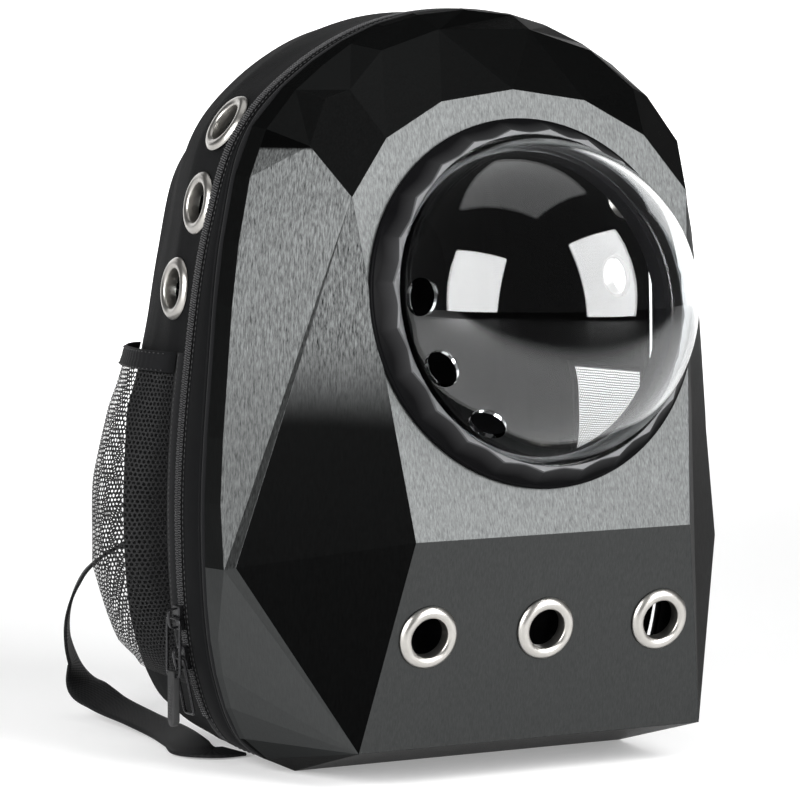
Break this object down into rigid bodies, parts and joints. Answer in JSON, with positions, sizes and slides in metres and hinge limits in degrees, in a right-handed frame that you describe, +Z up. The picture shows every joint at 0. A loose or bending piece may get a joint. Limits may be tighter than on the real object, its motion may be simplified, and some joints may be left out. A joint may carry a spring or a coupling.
{
  "type": "bubble pet carrier backpack",
  "caption": "Pet carrier backpack with a faceted rigid front, a clear bubble in a fluted bezel, metal eyelets, a zipped cloth bag, a net side pocket and shoulder straps.",
  "frame": {"origin": "middle of the flat base, on the floor, below the bag's cloth", "axes": "+X across, to the right seen from the front; -Y to the front, where the bubble is; +Z up"},
  "size_m": [0.3421, 0.404, 0.4143],
  "materials": {
    "shell": "vertically brushed dark metallic film, satin, grading from light grey to near black by facet",
    "gloss_black": "glossy black",
    "clear": "clear polished acrylic",
    "nickel": "satin nickel",
    "fabric_black": "matt black woven cloth",
    "webbing_black": "black woven webbing",
    "mesh_black": "black net",
    "zip_black": "black coil zip",
    "metal_black": "black lacquered metal",
    "rubber_black": "matt black rubber"
  },
  "bodies": {
    "pack": {"front_shell": "shell", "piping": "fabric_black", "door_band": "fabric_black", "zipper": "zip_black", "door_hinge_cloth": "fabric_black", "bag_body": "fabric_black", "side_window_mesh": "mesh_black", "pocket_net": "mesh_black", "pocket_hem": "fabric_black", "zip_slider_upper": "metal_black", "zip_slider_lower": "metal_black", "back_pad": "mesh_black", "grab_handle": "webbing_black", "front_vent_left": "nickel", "front_vent_middle": "nickel", "front_vent_right": "nickel", "side_vent_left_1": "nickel", "side_vent_left_2": "nickel", "side_vent_left_3": "nickel", "shoulder_strap_left": "fabric_black", "strap_adjuster_left": "gloss_black", "strap_webbing_left": "webbing_black", "side_vent_right_1": "nickel", "side_vent_right_2": "nickel", "side_vent_right_3": "nickel", "shoulder_strap_right": "fabric_black", "strap_adjuster_right": "gloss_black", "strap_webbing_right": "webbing_black", "zip_pull_lower": "metal_black"},
    "bubble": {"bubble_ring": "gloss_black", "bubble_dome": "clear"},
    "pull_upper": {"zip_pull_upper": "metal_black", "pull_tab": "rubber_black"}
  },
  "joints": [
    {"name": "bubble_turn", "type": "hinge", "parent": "pack", "child": "bubble", "pos_m": [0, -0.13752, 0.2543], "axis": [0, -0.9816, 0.1908], "range_deg": [0, 40]},
    {"name": "pull_upper_swing", "type": "hinge", "parent": "pack", "child": "pull_upper", "pos_m": [-0.15945, -0.027, 0.08279], "axis": [0, 1, 0], "range_deg": [0, 100]}
  ]
}
